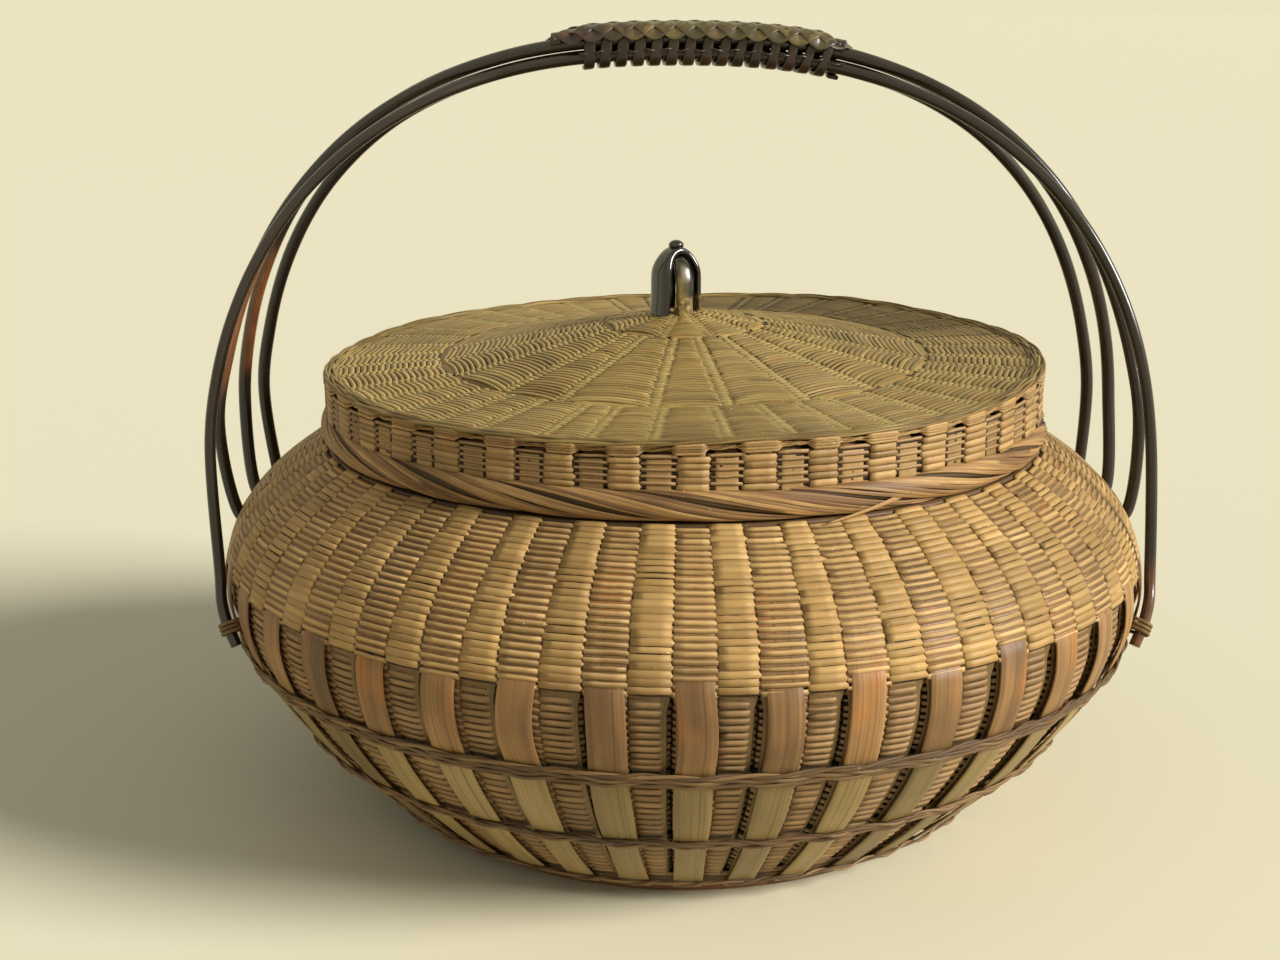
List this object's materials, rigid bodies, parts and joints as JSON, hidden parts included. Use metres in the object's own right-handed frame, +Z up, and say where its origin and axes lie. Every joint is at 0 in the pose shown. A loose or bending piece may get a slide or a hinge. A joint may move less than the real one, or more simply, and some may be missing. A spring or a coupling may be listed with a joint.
{
  "type": "lidded basket",
  "caption": "Squat round basket of woven split bamboo with a fitted woven lid, a small knob and a fixed overhead handle of bent rods with a wound grip.",
  "frame": {"origin": "centre of the foot, on the surface that the basket stands on", "axes": "+Z up through the middle of the lid, +X to the basket's right along the handle's span, -Y towards the front"},
  "size_m": [0.3005, 0.2992, 0.2528],
  "materials": {
    "woven_bamboo": "aged golden brown split bamboo, satin",
    "strip_bamboo": "reddish brown bamboo skin, satin",
    "twined_cane": "dark brown twined splints, dull",
    "lid_bamboo": "olive tan split bamboo, satin",
    "handle_rod": "very dark brown stained rod, glossy",
    "grip_cane": "olive brown cane, satin",
    "knob_lacquer": "near black lacquered bamboo, glossy"
  },
  "bodies": {
    "basket": {"foot_hoop": "strip_bamboo", "outer_stakes": "strip_bamboo", "base_mat": "woven_bamboo", "lower_weave": "woven_bamboo", "middle_weave": "woven_bamboo", "belly_weave": "woven_bamboo", "shoulder_weave": "woven_bamboo", "twined_band_bottom": "twined_cane", "twined_band_lower": "twined_cane", "twined_band_upper": "twined_cane", "mouth_hoop": "strip_bamboo", "mouth_collar": "woven_bamboo", "collar_rim": "twined_cane", "handle_rod_front_outer": "handle_rod", "handle_rod_front_inner": "handle_rod", "handle_rod_back_inner": "handle_rod", "handle_rod_back_outer": "handle_rod", "rod_tie_left_front": "grip_cane", "rod_tie_right_front": "grip_cane", "rod_tie_left_back": "grip_cane", "rod_tie_right_back": "grip_cane", "grip_wrap": "grip_cane", "grip_braid": "grip_cane"},
    "lid": {"lid_centre": "lid_bamboo", "lid_inner_ring": "lid_bamboo", "lid_outer_ring": "lid_bamboo", "lid_edge_roll": "lid_bamboo", "lid_wall": "lid_bamboo", "lid_hoop": "strip_bamboo", "lid_border_strand_1": "lid_bamboo", "lid_border_strand_2": "lid_bamboo", "lid_border_strand_3": "lid_bamboo", "knob_outer_strip": "knob_lacquer", "knob_inner_strip": "knob_lacquer", "knob_tie": "knob_lacquer"}
  },
  "joints": [
    {"name": "lid_lift", "type": "slide", "parent": "basket", "child": "lid", "axis": [0, 0, 1], "range_m": [0, 0.045]}
  ]
}
